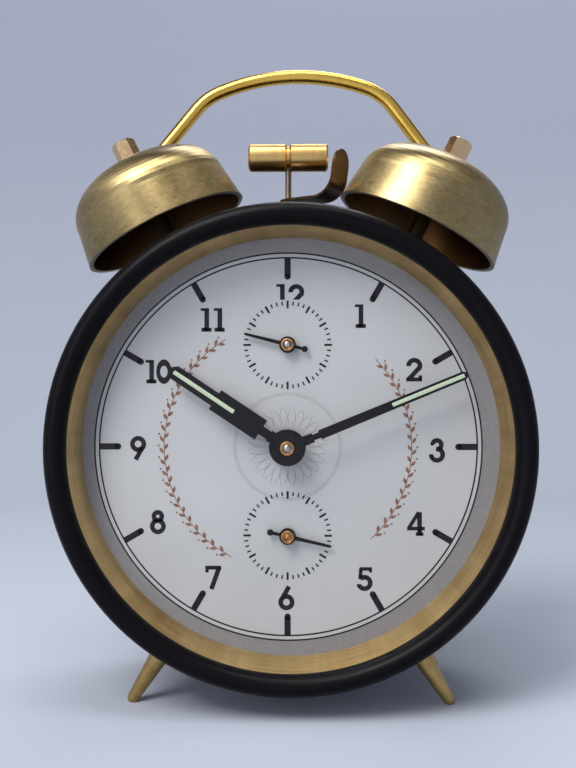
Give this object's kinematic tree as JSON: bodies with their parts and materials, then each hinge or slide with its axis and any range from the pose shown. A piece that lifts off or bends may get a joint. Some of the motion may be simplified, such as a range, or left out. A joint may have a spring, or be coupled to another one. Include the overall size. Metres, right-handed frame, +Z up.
{
  "type": "twin bell alarm clock",
  "caption": "Mechanical twin bell alarm clock with a round drum case, carrying handle, hammer between the bells, seconds and alarm subdials, and a wind-up movement with geared trains.",
  "frame": {"origin": "on the table under the middle of the bounding box", "axes": "+Z up, the dial looks along -Y, +X to the right as the dial is seen"},
  "size_m": [0.1204, 0.071, 0.1768],
  "materials": {
    "black_enamel": "satin",
    "hand_black": "satin",
    "clear_glass": "polished",
    "ring_brass": "brushed",
    "dial_face": "matt",
    "bell_brass": "brushed",
    "nut_copper": "satin",
    "gold": "polished",
    "foot_bronze": "matt",
    "steel": "satin",
    "rod_steel": "satin",
    "movement_brass": "satin",
    "spring_steel": "polished"
  },
  "bodies": {
    "case": {"case_drum": "black_enamel", "front_bezel": "black_enamel", "glass": "clear_glass", "reflector_ring": "ring_brass", "dial": "dial_face", "back_cover": "black_enamel", "cover_screws": "steel", "feet": "foot_bronze", "left_bell": "bell_brass", "right_bell": "bell_brass", "bell_posts": "steel", "bell_nuts": "nut_copper", "handle": "gold", "case_nuts": "steel", "lever_post": "steel", "front_plate": "movement_brass", "rear_plate": "movement_brass", "plate_pillars": "movement_brass", "pillar_nuts": "steel", "cover_posts": "movement_brass", "time_mainspring": "spring_steel", "alarm_mainspring": "spring_steel", "hairspring": "spring_steel", "letoff_spring": "spring_steel"},
    "stop_lever": {"stop_lever": "gold"},
    "hammer": {"hammer_head": "gold", "hammer_rod": "rod_steel", "hammer_arbor": "steel"},
    "seconds": {"fourth_wheel": "movement_brass", "fourth_pinion": "steel", "seconds_hand": "hand_black"},
    "third": {"third_wheel": "movement_brass", "third_pinion": "steel"},
    "centre": {"centre_wheel": "movement_brass"},
    "time_barrel": {"time_great_wheel": "movement_brass"},
    "time_winder": {"time_arbor": "steel", "time_key": "movement_brass"},
    "time_click": {"time_click": "steel"},
    "escape": {"escape_wheel": "movement_brass", "escape_pinion": "steel"},
    "pallet": {"pallet_lever": "steel"},
    "balance": {"balance_wheel": "movement_brass"},
    "regulator": {"regulator": "movement_brass"},
    "alarm_barrel": {"alarm_great_wheel": "movement_brass"},
    "alarm_winder": {"alarm_winding_arbor": "steel", "alarm_key": "movement_brass"},
    "alarm_click": {"alarm_click": "steel"},
    "strike": {"strike_wheel": "movement_brass", "strike_pinion": "steel"},
    "hands": {"centre_arbor": "steel", "cannon_pinion": "movement_brass", "minute_hand": "hand_black", "set_knob": "movement_brass"},
    "minute_wheel": {"minute_wheel": "movement_brass"},
    "hour": {"hour_wheel": "movement_brass", "hour_hand": "hand_black"},
    "alarm_wheel": {"alarm_wheel": "movement_brass"},
    "alarm_set": {"alarm_set_arbor": "steel", "alarm_hand": "hand_black", "alarm_knob": "movement_brass"}
  },
  "joints": [
    {"name": "stop_lever_turn", "type": "hinge", "parent": "case", "child": "stop_lever", "pos_m": [0.0012, -0.0141, 0.1299], "axis": [0, 0, 1], "range_deg": [-30, 0]},
    {"name": "hammer_swing", "type": "hinge", "parent": "case", "child": "hammer", "pos_m": [-0.01784, -0.0075, 0.0834], "axis": [0, -1, 0], "range_deg": [-5.9, 5.9]},
    {"name": "seconds_spin", "type": "hinge", "parent": "case", "child": "seconds", "pos_m": [-0.0007, -0.0045, 0.0921], "axis": [0, 1, 0], "continuous": true},
    {"name": "third_spin", "type": "hinge", "parent": "case", "child": "third", "pos_m": [0.00971, 0.0042, 0.08089], "axis": [0, 1, 0], "continuous": true},
    {"name": "centre_spin", "type": "hinge", "parent": "case", "child": "centre", "pos_m": [-0.0007, -0.0125, 0.0662], "axis": [0, 1, 0], "continuous": true},
    {"name": "time_barrel_spin", "type": "hinge", "parent": "case", "child": "time_barrel", "pos_m": [0.01832, -0.0105, 0.05729], "axis": [0, 1, 0], "continuous": true},
    {"name": "time_winding", "type": "hinge", "parent": "time_barrel", "child": "time_winder", "pos_m": [0.01832, 0.0175, 0.05729], "axis": [0, 1, 0], "continuous": true},
    {"name": "time_click_lift", "type": "hinge", "parent": "time_barrel", "child": "time_click", "pos_m": [0.02442, -0.0089, 0.06457], "axis": [0, 1, 0], "range_deg": [-12, 0], "stiffness_Nm_per_rad": 0.001, "springref_deg": 5.73},
    {"name": "escape_spin", "type": "hinge", "parent": "case", "child": "escape", "pos_m": [0.01148, -0.0011, 0.09653], "axis": [0, 1, 0], "continuous": true},
    {"name": "pallet_rock", "type": "hinge", "parent": "case", "child": "pallet", "pos_m": [0.02048, 0.0005, 0.09653], "axis": [0, 1, 0], "range_deg": [-6, 6]},
    {"name": "balance_swing", "type": "hinge", "parent": "case", "child": "balance", "pos_m": [0.03129, -0.0043, 0.0926], "axis": [0, 1, 0], "range_deg": [-220, 220], "stiffness_Nm_per_rad": 0.00002},
    {"name": "regulator_turn", "type": "hinge", "parent": "case", "child": "regulator", "pos_m": [0.03129, 0.0072, 0.0926], "axis": [0, 1, 0], "range_deg": [-20, 20]},
    {"name": "alarm_barrel_spin", "type": "hinge", "parent": "case", "child": "alarm_barrel", "pos_m": [-0.02111, -0.0105, 0.05698], "axis": [0, 1, 0], "continuous": true},
    {"name": "alarm_winding", "type": "hinge", "parent": "alarm_barrel", "child": "alarm_winder", "pos_m": [-0.02111, 0.0175, 0.05698], "axis": [0, 1, 0], "continuous": true},
    {"name": "alarm_click_lift", "type": "hinge", "parent": "alarm_barrel", "child": "alarm_click", "pos_m": [-0.02722, -0.0089, 0.06426], "axis": [0, 1, 0], "range_deg": [0, 12], "stiffness_Nm_per_rad": 0.001, "springref_deg": -5.73},
    {"name": "strike_spin", "type": "hinge", "parent": "case", "child": "strike", "pos_m": [-0.02455, -0.0131, 0.07668], "axis": [0, 1, 0], "continuous": true},
    {"name": "hand_setting", "type": "hinge", "parent": "case", "child": "hands", "pos_m": [-0.0007, -0.0285, 0.0662], "axis": [0, 1, 0], "continuous": true},
    {"name": "minute_wheel_spin", "type": "hinge", "parent": "case", "child": "minute_wheel", "pos_m": [-0.014, -0.0185, 0.07104], "axis": [0, 1, 0], "continuous": true},
    {"name": "hour_spin", "type": "hinge", "parent": "case", "child": "hour", "pos_m": [-0.0007, -0.0265, 0.0662], "axis": [0, 1, 0], "continuous": true},
    {"name": "alarm_wheel_spin", "type": "hinge", "parent": "case", "child": "alarm_wheel", "pos_m": [-0.0007, -0.0198, 0.04355], "axis": [0, 1, 0], "continuous": true},
    {"name": "alarm_setting", "type": "hinge", "parent": "case", "child": "alarm_set", "pos_m": [-0.0007, -0.0238, 0.04355], "axis": [0, 1, 0], "continuous": true}
  ],
  "couplings": [
    {"joint": "third_spin", "follows": "seconds_spin", "ratio": -0.13333},
    {"joint": "centre_spin", "follows": "seconds_spin", "ratio": 0.016667},
    {"joint": "time_barrel_spin", "follows": "seconds_spin", "ratio": -0.0027778},
    {"joint": "escape_spin", "follows": "seconds_spin", "ratio": -8},
    {"joint": "strike_spin", "follows": "alarm_barrel_spin", "ratio": -9},
    {"joint": "minute_wheel_spin", "follows": "hand_setting", "ratio": -0.33333},
    {"joint": "hour_spin", "follows": "hand_setting", "ratio": 0.083333},
    {"joint": "alarm_wheel_spin", "follows": "hand_setting", "ratio": -0.083333}
  ]
}
